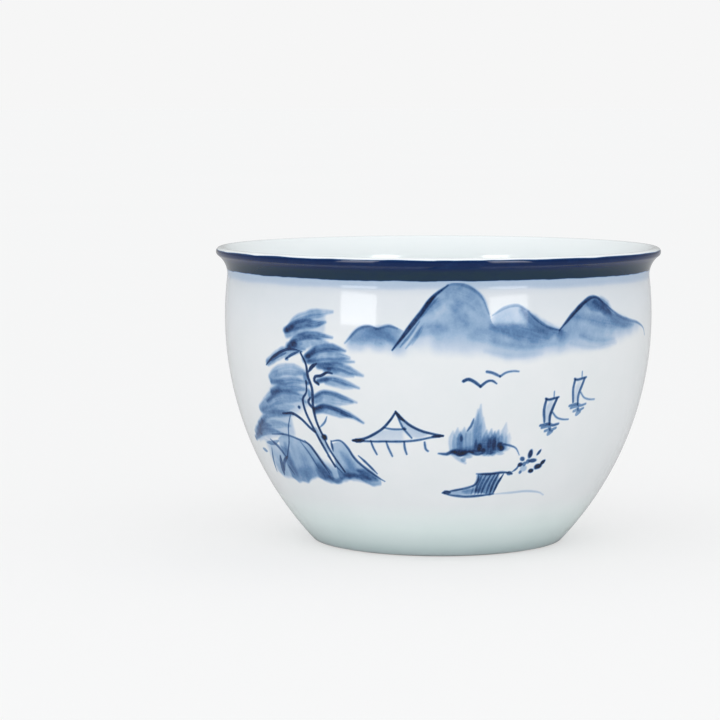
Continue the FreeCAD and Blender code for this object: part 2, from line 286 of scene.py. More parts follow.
def paint_mountains(p):
    p.wash([(-24.5, 36.6), (-21, 39.2), (-18, 40), (-15, 39.7), (-12, 40.1), (-9, 39.4), (-7, 38.6)],
           [(-25, 35.4), (-15, 35), (-6, 34.6)], 0.46, 0.30, 11, fade=3.2, ends=(2.5, 3.5))
    p.wash([(-11.6, 36), (-7, 39.8), (-3.2, 42.8), (-0.5, 45.1), (2.6, 46.7), (5.2, 46.95), (8, 46.5),
            (11, 45), (12.8, 42.4), (13.8, 40.4), (16.4, 39)],
           [(-12, 34.4), (0, 34.4), (17, 34)], 0.29, 0.19, 12, streak=0.4, fade=6.5, ends=(0.2, 3.2))
    p.wash([(12.4, 40.4), (15, 42.1), (18, 43), (20.5, 43.2), (22.5, 42.6), (25, 41.2), (28, 39.8),
            (33, 39), (36, 38)],
           [(12, 34), (24, 33.5), (37, 34)], 0.20, 0.31, 13, streak=0.35, fade=5, ends=(2.6, 3.0))
    p.wash([(30.5, 38), (33.5, 39.4), (37, 41.8), (41, 43.6), (44.5, 44), (48, 42.8), (51, 41.3),
            (58, 39.8), (66, 38.7), (72, 37)],
           [(30, 34.4), (50, 34.8), (73, 36.4)], 0.42, 0.10, 14, fade=4.4, ends=(2.5, 14))
    p.wash([(-4, 40.5), (4, 41.5), (11, 41), (20, 40.2), (32, 39), (44, 39.4), (56, 38.6)],
           [(-6, 35), (16, 33.6), (36, 34.4), (57, 35.6)], 0.16, 0.12, 15, sharp=1.6, fade=4,
           ends=(5, 10))
    broad = dict(edge=0.6, dry=0.35, pool=0)
    p.stroke([(21.6, 42.4), (24.5, 40.6), (28, 39.3), (32.5, 38.6)], 2.0, 0.42, **broad)
    p.stroke([(13.8, 39.8), (17.5, 39.4), (23, 38.6), (29, 37.8)], 2.4, 0.30, **broad)
    p.stroke([(44, 43.3), (47, 42.7), (50.5, 41.3)], 2.0, 0.56, **broad)
    p.stroke([(47, 42), (50.5, 40.8), (57, 39.4), (62, 38.8)], 1.6, 0.30, taper=(0.5, 0.05), **broad)
    p.stroke([(41.5, 43), (44, 42.6), (46.5, 42)], 1.8, 0.40, **broad)
    p.stroke([(37, 41), (42, 40.6), (48, 39.8), (58, 38.7)], 1.5, 0.22, taper=(0.5, 0.05), **broad)
    p.stroke([(39, 37.9), (45, 36.9), (52, 36.8)], 1.0, 0.22, **broad)
    p.stroke([(36, 36.6), (44, 35.9), (53, 36.2)], 0.7, 0.16, **broad)
    p.stroke([(12, 36), (19, 35.1), (27, 35.3)], 0.8, 0.14, **broad)
    p.stroke([(14, 37.4), (21, 36.6), (31, 36.8)], 1.2, 0.16, **broad)
    p.stroke([(-17, 39.2), (-14, 38.8), (-11, 37.6)], 1.8, 0.26, **broad)
    p.stroke([(-21.5, 37.6), (-18, 37.8), (-14, 37)], 1.8, 0.16, **broad)
    p.stroke([(-3.5, 42), (-1, 43.4), (2, 44.4)], 1.4, 0.22, **broad)
    p.stroke([(1, 45.4), (5, 45), (9, 43.8), (11.4, 41.6)], 2.6, 0.16, **broad)
    p.stroke([(3, 43.4), (5.4, 42.4), (7, 40.6)], 2.2, 0.18, **broad)
    p.stroke([(-5, 38.6), (-2, 39.6), (2, 39.6)], 2.2, 0.16, **broad)
    p.stroke([(8, 38.4), (11, 38.6), (13.5, 37.6)], 2.2, 0.14, **broad)
    sketch = dict(edge=0.16, dry=0.8, pool=0)
    p.stroke([(-9.4, 36.6), (-7.2, 38.4), (-4.6, 40.8)], 0.5, 0.40, **sketch)
    p.stroke([(-8, 36.4), (-5.8, 38.2), (-4, 40)], 0.45, 0.32, **sketch)
    p.stroke([(-6.4, 37), (-4.8, 38.6), (-3.4, 40.4)], 0.4, 0.25, **sketch)
    p.stroke([(-5, 40.8), (-2.6, 42.8), (0, 44.6)], 0.5, 0.3, **sketch)
    p.stroke([(-11.4, 36.1), (-8, 38.9), (-4.5, 41.9), (-1, 44.8), (2.6, 46.6)], 0.72, 0.96,
             taper=(0.3, 0.25), edge=0.18, dry=0.25)
    p.stroke([(2.4, 46.6), (5, 46.8), (8.5, 46.1), (11.3, 44.5), (12.9, 42)], 0.5, 0.36, edge=0.28)
    p.stroke([(-24, 37), (-20.5, 39.3), (-17.5, 39.9), (-15.5, 39.5)], 0.5, 0.40, edge=0.22)
    p.stroke([(-15.5, 39.4), (-12.5, 40), (-10.2, 39.6)], 0.5, 0.40, edge=0.22)
    p.stroke([(13.8, 41.7), (17, 42.9), (20.5, 43.2), (23.5, 42.2)], 0.42, 0.42, edge=0.18)
    p.stroke([(23.2, 42.2), (26, 40.7), (29, 39.5), (32.5, 39)], 0.5, 0.5, edge=0.22)
    p.stroke([(32.2, 38.9), (36, 41.2), (40, 43.1), (43, 44), (45.4, 43.9), (47.4, 43.1)], 0.66, 0.92,
             taper=(0.3, 0.15), edge=0.18, dry=0.2)
    p.stroke([(45.6, 43.7), (49, 42.4), (54, 40.7), (59, 39.8), (65, 39), (69.6, 37.9), (71.3, 36.6)],
             0.42, 0.52, edge=0.16)


def paint_pine(p):
    p.wash([(-44, 38.4), (-40, 40.2), (-34, 41.4), (-29, 41.6)], [(-44, 38), (-36, 37), (-29, 38)],
           0.20, 0.10, 21, fade=1.2)
    p.wash([(-54, 26.2), (-49, 29.5), (-46, 31.6), (-42, 32), (-35, 32)],
           [(-58, 23.5), (-50, 23), (-43, 23.8), (-35, 26)], 0.16, 0.19, 22, fade=1.6, sharp=0.8,
           ends=(4, 1.5))
    p.wash([(-66, 20.2), (-58, 23), (-51, 24.6), (-43, 25.4)], [(-67, 18), (-56, 19.4), (-43, 20.6)],
           0.20, 0.18, 23, fade=1.2, sharp=0.4)
    tufts = [
        ([(-41.5, 38.8), (-39, 40.2), (-34.5, 41.3), (-31, 41.7), (-27.6, 42)], 1.5, 0.42),
        ([(-42, 37.8), (-38.5, 38.5), (-34.5, 38.9)], 1.6, 0.34),
        ([(-42.5, 38.5), (-39.5, 39.3), (-36, 39.9), (-33, 39.8), (-29.6, 40.3)], 1.5, 0.68),
        ([(-41.5, 35.9), (-37, 36.5), (-33, 37), (-29, 36.9)], 2.0, 0.42),
        ([(-41.3, 36), (-39, 37.2), (-35.5, 37.9), (-32, 38), (-27.6, 37.8)], 1.25, 0.66),
        ([(-50, 32.9), (-45, 34.5), (-41, 35.2), (-36, 35.6)], 1.7, 0.45),
        ([(-36, 34), (-32, 34.9), (-28, 35.1), (-23, 34.6)], 2.0, 0.50),
        ([(-35.5, 34.6), (-33, 35.5), (-29.5, 36.1), (-27, 36.1), (-24, 35.7)], 1.25, 0.66),
        ([(-35, 33.6), (-31, 33.7), (-26, 34), (-21.6, 34)], 1.1, 0.50),
        ([(-32, 33), (-26.5, 33.1), (-23.5, 32.6), (-19.4, 31.8)], 1.4, 0.62),
        ([(-30, 32.4), (-26, 32.2), (-22, 31.6)], 1.2, 0.40),
        ([(-32.5, 30.5), (-28.5, 31), (-25, 30.6), (-20.6, 29.7)], 0.95, 0.72),
        ([(-30, 30.3), (-26.5, 30), (-22.5, 29.6)], 0.8, 0.34),
        ([(-34, 27.2), (-31.5, 27.9), (-28, 27.7), (-22.8, 27.3)], 2.0, 0.42),
        ([(-34, 27.9), (-31.5, 28.6), (-28.5, 28.6), (-25.5, 28), (-21.6, 27.3)], 0.75, 0.60),
        ([(-34.5, 25.5), (-31.5, 25.9), (-28, 25.5), (-23.5, 24.8)], 1.5, 0.56),
        ([(-34.5, 25.8), (-31.5, 26.4), (-28, 26), (-23.5, 25), (-20.2, 23.9)], 0.85, 0.82),
        ([(-49.5, 30.4), (-46.5, 31.5), (-43, 32), (-39, 32), (-35.6, 31.5)], 2.0, 0.38),
        ([(-49.5, 29.6), (-44, 30), (-40, 30.3), (-35.8, 30)], 1.1, 0.50),
        ([(-50, 28), (-45.5, 28.8), (-41, 29.1), (-36, 28.9)], 1.4, 0.48),
        ([(-57, 24.6), (-51, 26.6), (-46, 27.4), (-40, 27.4), (-37.4, 26.8)], 2.4, 0.38),
        ([(-53, 26.2), (-48, 27.8), (-42, 28.2), (-37.6, 27.8)], 0.8, 0.42),
        ([(-56, 24.4), (-49, 25.2), (-42, 25.8)], 1.6, 0.28),
        ([(-61, 21.8), (-55, 23.6), (-49, 24.3), (-43, 24.4)], 1.3, 0.45),
        ([(-63, 20.8), (-56, 22), (-50, 22.4), (-45, 22.4)], 1.5, 0.34),
        ([(-68, 18.9), (-61, 20.3), (-54, 21), (-49, 20.8)], 1.1, 0.58),
        ([(-66, 20), (-60, 21.6), (-54, 21.9)], 1.4, 0.36),
    ]
    for points, width, load in tufts:
        p.stroke(points, width, load * 0.88, taper=(0.7, 0.2), edge=0.32, dry=0.35, pool=0.12)
        p.stroke(points[:2], width * 0.6, load * 0.5, taper=(0.9, 0.3), edge=0.3, dry=0.2, pool=0)
    for angle, z, width, load in [
            (-42, 38.5, 0.8, 0.6), (-39.5, 36.3, 1.3, 0.65), (-42.5, 33.8, 0.8, 0.5),
            (-35, 34.5, 0.9, 0.6), (-36, 30, 0.8, 0.5), (-28.8, 32.6, 0.8, 0.4),
            (-62, 20, 0.9, 0.4), (-58.5, 22.6, 0.8, 0.35)]:
        p.dab(angle, z, width, width * 0.8, load, soft=0.5)
    p.stroke([(-51, 32.4), (-48, 33.8), (-44.5, 34.9), (-41, 35.5), (-37, 35.2)], 0.5, 0.85)
    p.stroke([(-49.8, 33), (-46, 34), (-42.5, 34.8)], 0.5, 0.5)
    p.stroke([(-43, 33.7), (-40.5, 34.6), (-38, 35.2)], 0.45, 0.8)
    p.stroke([(-35.3, 31.9), (-34, 32.8), (-32.5, 33.4)], 0.62, 0.92)
    p.stroke([(-32.4, 30), (-33.6, 30.5), (-33.2, 31.2), (-31.5, 31.4), (-29.5, 32), (-28, 31.9)],
             0.5, 0.95, taper=(0.9, 0.6))
    p.stroke([(-34, 22.6), (-32, 23.6), (-31, 24.6)], 0.32, 0.6)
    trunk = dict(edge=0.09, dry=0.1, taper=(0.6, 0.8))
    p.stroke([(-37.5, 35), (-36, 33.2), (-35.6, 31.2), (-34.6, 29), (-35, 26.4), (-34.8, 24),
              (-33.8, 21.8), (-33, 21)], 0.52, 0.92, **trunk)
    p.stroke([(-36.4, 30.4), (-36.6, 28.6), (-38.2, 27.2), (-38, 25.4), (-37, 23.6), (-35.6, 21.6),
              (-34.2, 19.6), (-32.6, 17.4), (-31.6, 16)], 0.46, 0.86, **trunk)
    p.stroke([(-35.6, 27.6), (-36.4, 26.8), (-35.2, 25.8)], 0.5, 0.85, **trunk)
    p.stroke([(-33.4, 21.2), (-32.4, 19.4), (-30.8, 17.4), (-28.6, 15.2)], 0.42, 0.84, **trunk)
    p.stroke([(-35.4, 22.4), (-34, 20.4), (-32.6, 18.6)], 0.9, 0.34, edge=0.3)
    p.stroke([(-47, 24.4), (-43, 24.6), (-40, 23.8), (-37.5, 22.5), (-36, 21.8)], 0.5, 0.9, **trunk)
    p.stroke([(-44, 24.2), (-46, 22), (-47.5, 19.4), (-50.5, 16.8)], 0.28, 0.6, **trunk)
    p.dab(-33, 21, 1.2, 1.1, 0.97, soft=0.3)
    p.dab(-35.6, 28.2, 0.8, 1.6, 0.45, soft=0.5)
    p.dab(-36.4, 31, 1.0, 1.4, 0.4, soft=0.5)
    p.dab(-40, 25.8, 0.65, 0.6, 0.75, soft=0.3)


def paint_rocks(p):
    p.wash([(-53, 19.6), (-50, 20.4), (-46, 20.5), (-41, 19.9), (-37.5, 18.6), (-35, 16.4), (-33, 14.8)],
           [(-54, 13), (-49, 12.2), (-45, 12.3), (-40, 13.6), (-36.5, 13), (-32, 13.4)], 0.30, 0.43, 31,
           streak=0.3, fade=0.6, ends=(1.2, 0.6))
    p.wash([(-62, 19.4), (-57, 19), (-52, 18.6), (-48, 18)],
           [(-63, 14), (-57, 12.8), (-47, 12.6)], 0.22, 0.34, 34, streak=0.4, fade=0.8, ends=(4, 2))
    p.wash([(-31.5, 19.8), (-28, 20.4), (-25.5, 19.2), (-23, 17.2), (-20, 15.9), (-17, 14.4)],
           [(-32, 13.4), (-28, 14), (-24, 13.8), (-20, 12.8), (-16.5, 13.4)], 0.24, 0.42, 32, streak=0.3,
           fade=0.6, ends=(0.6, 0.4))
    p.wash([(-40, 17), (-35, 16.6), (-31, 15.8), (-26, 15.6)],
           [(-40, 13.2), (-36, 12.8), (-33, 12.8), (-26, 14)], 0.27, 0.42, 33, sharp=0.9, fade=0.6)
    p.stroke([(-48, 14.4), (-43, 14.2), (-39, 15)], 1.7, 0.24, edge=0.7)
    p.stroke([(-44, 18.4), (-43, 16.4), (-43, 14.4)], 2.0, 0.20, edge=0.9)
    p.stroke([(-24, 15.6), (-21.5, 15), (-18.6, 14.2)], 1.5, 0.62, edge=0.4)
    p.stroke([(-29.5, 14.8), (-25.5, 14.6), (-21, 14.4)], 0.8, 0.42, edge=0.35)
    p.stroke([(-35, 14), (-32.5, 13.4), (-30, 14)], 0.8, 0.44, edge=0.35)
    line = dict(edge=0.1, dry=0.15)
    p.stroke([(-55, 20.4), (-48, 20.7), (-43, 20.2), (-39, 19.4), (-36.6, 17.2), (-33.8, 14.8)],
             0.36, 0.66, **line)
    p.stroke([(-40.5, 20.1), (-38.4, 18.8), (-36, 16.4), (-34.4, 14.6)], 0.42, 0.7, **line)
    p.stroke([(-42.5, 19.9), (-40, 17.8), (-38.2, 15.4)], 0.36, 0.5, **line)
    p.stroke([(-38, 16), (-36, 14.4), (-34, 13.6)], 1.4, 0.36, edge=0.4)
    p.stroke([(-49.5, 19), (-50, 16.5), (-49, 13.8)], 1.6, 0.26, edge=0.5)
    p.stroke([(-28.5, 18.6), (-26.5, 17), (-25, 15.2)], 1.3, 0.24, edge=0.5)
    p.stroke([(-29, 14.4), (-25.5, 14.4), (-20.5, 14)], 1.2, 0.40, edge=0.4)
    p.stroke([(-57, 19.4), (-53.5, 18.2), (-51, 16.4)], 0.6, 0.62, **line)
    p.stroke([(-58, 17.8), (-60.6, 15), (-61.5, 13.4)], 0.42, 0.6, **line)
    p.stroke([(-54.5, 16.6), (-56, 14.6), (-57, 13.2)], 0.95, 0.72, **line)
    p.stroke([(-50.5, 16.8), (-53.5, 15.6), (-55.5, 14)], 0.6, 0.6, **line)
    p.stroke([(-52, 15.2), (-50.5, 13.6)], 0.4, 0.5, **line)
    p.stroke([(-65, 17.2), (-62, 17)], 0.7, 0.5, **line)
    p.stroke([(-60, 18.6), (-56, 18.8), (-52.5, 19.4)], 0.7, 0.45, **line)
    p.stroke([(-31, 20.4), (-28, 20.6), (-26, 19.5), (-24.4, 17.7), (-22, 16.3), (-18, 14.6),
              (-16, 13.9)], 0.42, 0.72, **line)
    p.stroke([(-23, 18.2), (-21, 17.1), (-18, 15.2)], 0.42, 0.78, **line)
    p.stroke([(-31, 20.5), (-31, 18.7)], 0.42, 0.75, **line)
    p.stroke([(-33.4, 17.8), (-31.4, 16.2), (-29.6, 15)], 0.3, 0.6, **line)


def paint_pavilion(p):
    line = dict(edge=0.09, dry=0.12, taper=(0.8, 0.8))
    p.wash([(-9.8, 24.9), (-7, 23.8), (-4, 22.8), (-1, 22.3)], [(-10, 22.4), (-7, 21.6), (-1, 21.6)],
           0.22, 0.14, 41, sharp=0.3, fade=0.8, ends=(0.4, 2))
    p.wash([(-20, 21.4), (-16, 22.6), (-12.5, 22.9), (-8.5, 22.9)], [(-20, 20.4), (-8, 20.6)],
           0.14, 0.08, 42, sharp=0.3, fade=0.8, ends=(2, 1.5))
    p.stroke([(-11, 25.9), (-12.6, 24.5), (-14.6, 23.2), (-17, 22.2), (-19.6, 21.4), (-22, 21),
              (-24, 20.8)], 0.42, 0.86, **line)
    p.stroke([(-11, 26), (-9.5, 24.9), (-7.5, 23.8), (-5, 23), (-2.5, 22.5), (1.5, 22)],
             0.42, 0.86, **line)
    p.stroke([(-24, 20.8), (-18.5, 20.8), (-14, 20.9), (-9, 21), (-5, 21.3), (-2, 21.7), (1.5, 22)],
             0.36, 0.74, **line)
    p.stroke([(-24, 20.8), (-20.5, 20.9)], 0.66, 0.95, edge=0.1, dry=0)
    p.stroke([(-1.5, 21.9), (1.6, 22.05)], 0.5, 0.85, edge=0.1, dry=0)
    p.stroke([(-11.1, 26), (-10, 25.1), (-8.8, 24.4)], 0.6, 0.95, edge=0.1, dry=0)
    p.stroke([(-14.5, 23.2), (-11.5, 23), (-8.5, 23.1)], 0.32, 0.66, **line)
    p.stroke([(-10.7, 25.6), (-9.9, 24.2), (-9, 23.1), (-7, 21.6)], 0.34, 0.66, **line)
    p.stroke([(-9.2, 23.2), (-8.6, 23.1)], 0.6, 0.6, edge=0.15)
    for top, foot, low in ((-18.6, -17.3, 18.6), (-14.2, -12.8, 18.4), (-9.1, -8.6, 18.8),
                           (-3.5, -2.6, 19.4)):
        p.stroke([(top, 20.9), ((top + foot) / 2 - 0.2, 19.8), (foot, low)], 0.36, 0.68, **line)


def paint_islet(p):
    for angle, top, foot, load in [
            (4.2, 22.8, 19.4, 0.22), (5.4, 23.3, 19.6, 0.26), (6.2, 22.6, 19, 0.42),
            (7.2, 23.4, 19.6, 0.28), (8.4, 23.4, 19.6, 0.26), (9.8, 24.6, 19.8, 0.24),
            (10.6, 26.4, 19.6, 0.22), (11.3, 27.2, 20, 0.22), (12.2, 25, 19.4, 0.22),
            (13.3, 22.8, 19, 0.40), (14.6, 23, 19, 0.40), (15.6, 22.6, 19, 0.44),
            (16.6, 22.8, 19.4, 0.34), (17.6, 22.2, 19.4, 0.32), (18.6, 24, 19.8, 0.18),
            (19.8, 22.2, 19.8, 0.14)]:
        p.stroke([(angle, top), (angle - 0.2, (top + foot) / 2), (angle + 0.1, foot)], 1.0, load,
                 taper=(0.12, 1.0), edge=0.25, dry=0.6)
    for angle, z, width, height, load in [
            (6.5, 21.6, 0.5, 1.2, 0.55), (11.7, 19.9, 0.8, 1.4, 0.85), (12.8, 19.5, 0.8, 0.8, 0.7),
            (14.4, 20.6, 0.6, 1.8, 0.6), (15.7, 20.5, 0.7, 1.8, 0.66), (17.5, 20.3, 1.0, 1.0, 0.8),
            (18.1, 19.7, 0.9, 0.9, 0.92), (7.2, 19.1, 1.4, 1.0, 0.8), (5.2, 19.3, 1.6, 0.9, 0.6),
            (10, 19.3, 1.8, 0.6, 0.6), (10.6, 20.6, 0.5, 1.6, 0.4), (15, 19, 1.4, 0.6, 0.45),
            (7.4, 17.9, 0.8, 0.8, 0.3), (8.6, 18.4, 1.4, 0.6, 0.26), (17.8, 18.8, 1.4, 0.5, 0.2)]:
        p.dab(angle, z, width, height, load, soft=0.45)
    p.wash([(3, 20), (5, 22.6), (7, 23.2), (9.2, 23.4), (10.4, 25.4), (11.2, 26.6), (12.2, 24.6),
            (14, 22.8), (17, 22.8), (18.6, 22.4), (20.4, 21)], [(3, 18.6), (20.5, 19)],
           0.05, 0.34, 43, sharp=0.3, fade=0.7, ends=(1.2, 1.2))
    p.stroke([(4.2, 19.2), (7, 19.2), (10.5, 19.6), (14, 19.4), (18.4, 19.8)], 1.3, 0.46, edge=0.5,
             dry=0.5)
    p.stroke([(11.2, 20.6), (14.6, 20.8), (18, 20.4)], 1.5, 0.34, edge=0.6, dry=0.5)
    p.stroke([(0.3, 19), (2.6, 18.9), (4.2, 19.3), (6.4, 18.7), (8.4, 19.2)], 0.55, 0.8, edge=0.16)
    p.stroke([(8.6, 19.4), (11, 18.8), (13.2, 19)], 0.4, 0.7, edge=0.12)
    p.stroke([(4.2, 18.8), (6.2, 18), (8, 17.3)], 0.5, 0.32, edge=0.3)
    p.stroke([(9.6, 24.9), (9, 23.7), (8, 22.8)], 0.38, 0.62, edge=0.12)
    p.stroke([(18.6, 20.4), (20.6, 20.1), (22.4, 19.6), (23.8, 18.4)], 0.34, 0.66, taper=(1.3, 0.7))


def paint_shrub(p):
    for angle, z, width, height, tilt, load in [
            (27.3, 18.5, 0.85, 1.5, 0, 0.9), (30.1, 18.7, 0.6, 1.0, -0.5, 0.8),
            (25, 17.7, 0.9, 0.8, 0.3, 0.72), (28.4, 17.3, 1.5, 0.7, 0, 0.8),
            (27, 17.2, 0.8, 0.8, 0, 0.6), (24.7, 16.7, 0.9, 0.8, 0, 0.88),
            (26, 16.8, 0.7, 0.8, 0, 0.6), (30.8, 16.2, 1.5, 1.0, -0.3, 0.97),
            (32.2, 16.9, 0.9, 0.9, -0.4, 0.97), (28.7, 15.5, 1.0, 0.75, 0, 0.97),
            (25.2, 15.4, 0.55, 0.6, 0, 0.6), (26, 16.0, 1.3, 1.0, 0, 0.25)]:
        p.dab(angle, z, width, height, load, soft=0.28, tilt=tilt)
    p.stroke([(24.5, 17), (23.8, 16.1), (22.5, 15.5)], 0.34, 0.75, edge=0.1)


def paint_bank(p):
    p.wash([(11.4, 15.3), (14, 15.5), (17, 15.5), (19, 15.3)],
           [(11, 11.9), (14, 11.2), (17, 11.2), (19, 13.4)], 0.44, 0.50, 51, sharp=0.15, fade=0.4,
           ends=(0.6, 0.8))
    p.stroke([(8, 12.3), (11, 12.3), (14, 12.6)], 1.1, 0.30, edge=0.3)
    p.stroke([(3.5, 12.1), (8, 12.2), (12.5, 12.5)], 1.0, 0.34, edge=0.25)
    line = dict(edge=0.1, dry=0.2)
    p.stroke([(11.5, 15.4), (15.5, 15.3), (19, 15.5), (21.5, 15.4), (22.7, 15.1)], 0.42, 0.78, **line)
    p.stroke([(20.8, 15.4), (22.6, 15.2)], 0.7, 0.7, **line)
    p.stroke([(12.2, 15.2), (12.2, 14.2), (11.2, 13.4), (8.6, 12.9), (5, 12.5), (1.8, 12.1)],
             0.38, 0.72, **line)
    p.stroke([(1.6, 12.1), (2.8, 12.2), (4, 12.1)], 0.66, 0.85, **line)
    p.stroke([(2, 12), (5, 11.6), (9, 11.4), (13, 11.5), (18, 11.7)], 0.42, 0.78, **line)
    for top, foot, load in ((19.9, 17.7, 0.85), (18.3, 16.6, 0.75), (17.2, 15.4, 0.6), (16, 13.8, 0.62),
                            (14.6, 12.8, 0.5), (13.4, 11.8, 0.55), (12.9, 10.6, 0.35)):
        p.stroke([(top, 15.2), ((top + foot) / 2 - 0.3, 13.5), (foot, 11.8)], 0.42, load, **line)
    p.stroke([(18.5, 11.7), (23.5, 11.8), (29, 11.9), (34, 11.5), (36.5, 10.9)], 0.32, 0.24,
             edge=0.16, dry=0.5)


def paint_boat(p, left, keel, load):
    """Sail edges drawn in at the waist, a mast, a boom swung out and a scribbled hull."""
    def at(*places):
        return [(left + a, keel + b) for a, b in places]
    line = dict(edge=0.1, dry=0.25, taper=(0.9, 0.8))
    p.stroke(at((0, 5.6), (0.9, 5.4), (2.2, 5.5), (4, 5.7)), 0.42, 0.85 * load, **line)
    p.stroke(at((2.4, 6.7), (2.5, 5.6)), 0.26, 0.55 * load, **line)
    p.stroke(at((0.2, 5.4), (-0.1, 3.8), (0.5, 1.7)), 0.5, 0.85 * load, **line)
    p.stroke(at((3.5, 5.5), (2.6, 4), (2, 2.6), (2.3, 1.3)), 0.5, 0.82 * load, **line)
    p.stroke(at((2.7, 3.2), (4.2, 2.3), (6.2, 1.9), (8.4, 1.8)), 0.3, 0.6 * load, **line)
    p.stroke(at((-0.6, 1.1), (1.8, 1.3), (3.4, 1), (5.2, 1.2)), 0.46, 0.7 * load, **line)
    p.stroke(at((0, 0.7), (2.2, 0.9), (3, 0.2), (4.6, 0.5)), 0.5, 0.6 * load, **line)
    p.stroke(at((1.2, 0.1), (2.6, 0.3), (2.4, -0.5), (3.6, -0.1)), 0.5, 0.55 * load, **line)
    p.stroke(at((1.9, 5.2), (1.5, 3.8), (1.4, 1.6)), 1.3, 0.15 * load, edge=0.4)


def paint_birds(p):
    line = dict(edge=0.1, dry=0.15)
    p.stroke([(6.6, 31.1), (7.8, 31.4), (9.3, 31), (11, 30.2)], 0.52, 0.84, taper=(1.0, 0.8), **line)
    p.stroke([(11, 30.2), (12.6, 31), (14, 31.1), (15.2, 30.6)], 0.42, 0.78, taper=(1.1, 0.5), **line)
    p.stroke([(12.5, 32.6), (14, 32.4), (16, 31.8)], 0.46, 0.66, taper=(0.9, 0.8), **line)
    p.stroke([(16, 31.8), (17.6, 32.4), (19.5, 32.6), (21, 32.5)], 0.36, 0.6, taper=(1.1, 0.6), **line)


def paint_bleed_and_shade(p):
    """The lip's blue runs a little way down into the glaze, with painted shade under the flare and
    faintly on the upper wall.
    """
    run = BAND_LOW - 0.8 - 0.35 * clouds(p.a * 0.1, p.z * 0, 61)
    # The first term is the band's bleed and also paints the flare's shadow, the second is painted shade
    # just under the flare, the third a faint painted shade over the upper wall.
    p.lay(np.arange(len(p.z)), 0.13 * ease(run - 0.5, run + 0.5, p.z) + 0.04 * ease(44.5, 46.5, p.z)
          + 0.03 * ease(34, 45, p.z))


def paint(p):
    paint_mountains(p)
    paint_rocks(p)
    paint_pine(p)
    paint_pavilion(p)
    paint_islet(p)
    paint_bank(p)
    paint_shrub(p)
    paint_boat(p, 29.4, 22.2, 1.0)
    paint_boat(p, 38.0, 25.2, 0.85)
    paint_birds(p)


# --- meshes -------------------------------------------------------------------------------------

def made(name, verts, faces, normals, ink, material):
    """A smooth mesh object with its true normals, and its ink stored on its points."""
    mesh = bpy.data.meshes.new(name)
    mesh.from_pydata((verts * S).tolist(), [], faces)
    mesh.polygons.foreach_set("use_smooth", np.ones(len(faces), dtype=bool))
    layer = mesh.attributes.new("ink", "FLOAT", "POINT")
    layer.data.foreach_set("value", ink.astype(np.float32))
    mesh.normals_split_custom_set_from_vertices(normals.tolist())
    mesh.materials.append(material)
    obj = bpy.data.objects.new(name, mesh)
    bpy.context.scene.collection.objects.link(obj)
    return obj


def around(angle, r, z):
    """Points or normals at angles round the axis, from their radial and upward parts."""
    t = np.radians(angle)
    return np.stack([r * np.sin(t), -r * np.cos(t), z], -1)


def section_normals(run):
    """Unit normals along a run, on the right of its direction."""
    d = np.gradient(run, axis=0)
    n = np.stack([d[:, 1], -d[:, 0]], 1)
    return n / np.linalg.norm(n, axis=1)[:, None]


def lathe(name, run, ink, material, turns):
    """A run of (radius, height) points turned about the axis, walked with its outside on the right."""
    angles = np.arange(turns) * 360.0 / turns
    a, r = np.meshgrid(angles, run[:, 0], indexing="ij")
    z = np.broadcast_to(run[:, 1], a.shape)
    n = section_normals(run)
    verts = around(a, r, z).reshape(-1, 3)
    normals = around(a, *(np.broadcast_to(part, a.shape) for part in n.T)).reshape(-1, 3)
    rows = len(run)
    i, j = np.meshgrid(np.arange(turns), np.arange(rows - 1), indexing="ij")
    k = (i + 1) % turns
    corners = np.stack([i * rows + j, k * rows + j, k * rows + j + 1, i * rows + j + 1], -1)
    corners = corners.reshape(-1, 4)
    corners = np.where(run[corners % rows, 0] < 1e-9, corners % rows, corners)
    used, faces = np.unique(corners, return_inverse=True)
    faces = [list(dict.fromkeys(face)) for face in faces.reshape(-1, 4).tolist()]
    return made(name, verts[used], faces, normals[used],
                ink(a.ravel(), r.ravel(), z.ravel())[used], material)


def bare(angle, r, z):
    """No ink."""
    return np.zeros_like(angle)


# Windows of the wall, as (from, to, low, high) in degrees and millimetres, where each motif lies.
# A later window gives way to an earlier one.
WINDOWS = {
    "pine_tree": [(-70, -25, 21.5, 43), (-25, -18, 23, 34)],
    "rocks": [(-70, -25, 12, 21.5), (-25, -15, 12, 18)],
    "mountain_range": [(-27, 75, 33.5, 47)],
    "pavilion": [(-25, 2, 18, 27)],
    "islet_grove": [(0, 24, 17, 28)],
    "shore_bank": [(0, 24, 10.5, 17), (24, 38, 10.5, 13.5)],
    "shrub": [(22, 35, 13.5, 20.5)],
    "boat_near": [(27, 37, 21, 30), (37, 39, 21, 25)],
    "boat_far": [(36, 48, 23.5, 32.5)],
    "bird_low": [(5, 17, 29.5, 31.5)],
    "bird_high": [(5, 23, 31.5, 33.5)],
}
WALL_LOW, ROW = 1.5, 0.5
FINE, COARSE = (6, 4), (1, 2)      # mesh cells across one degree and up one row


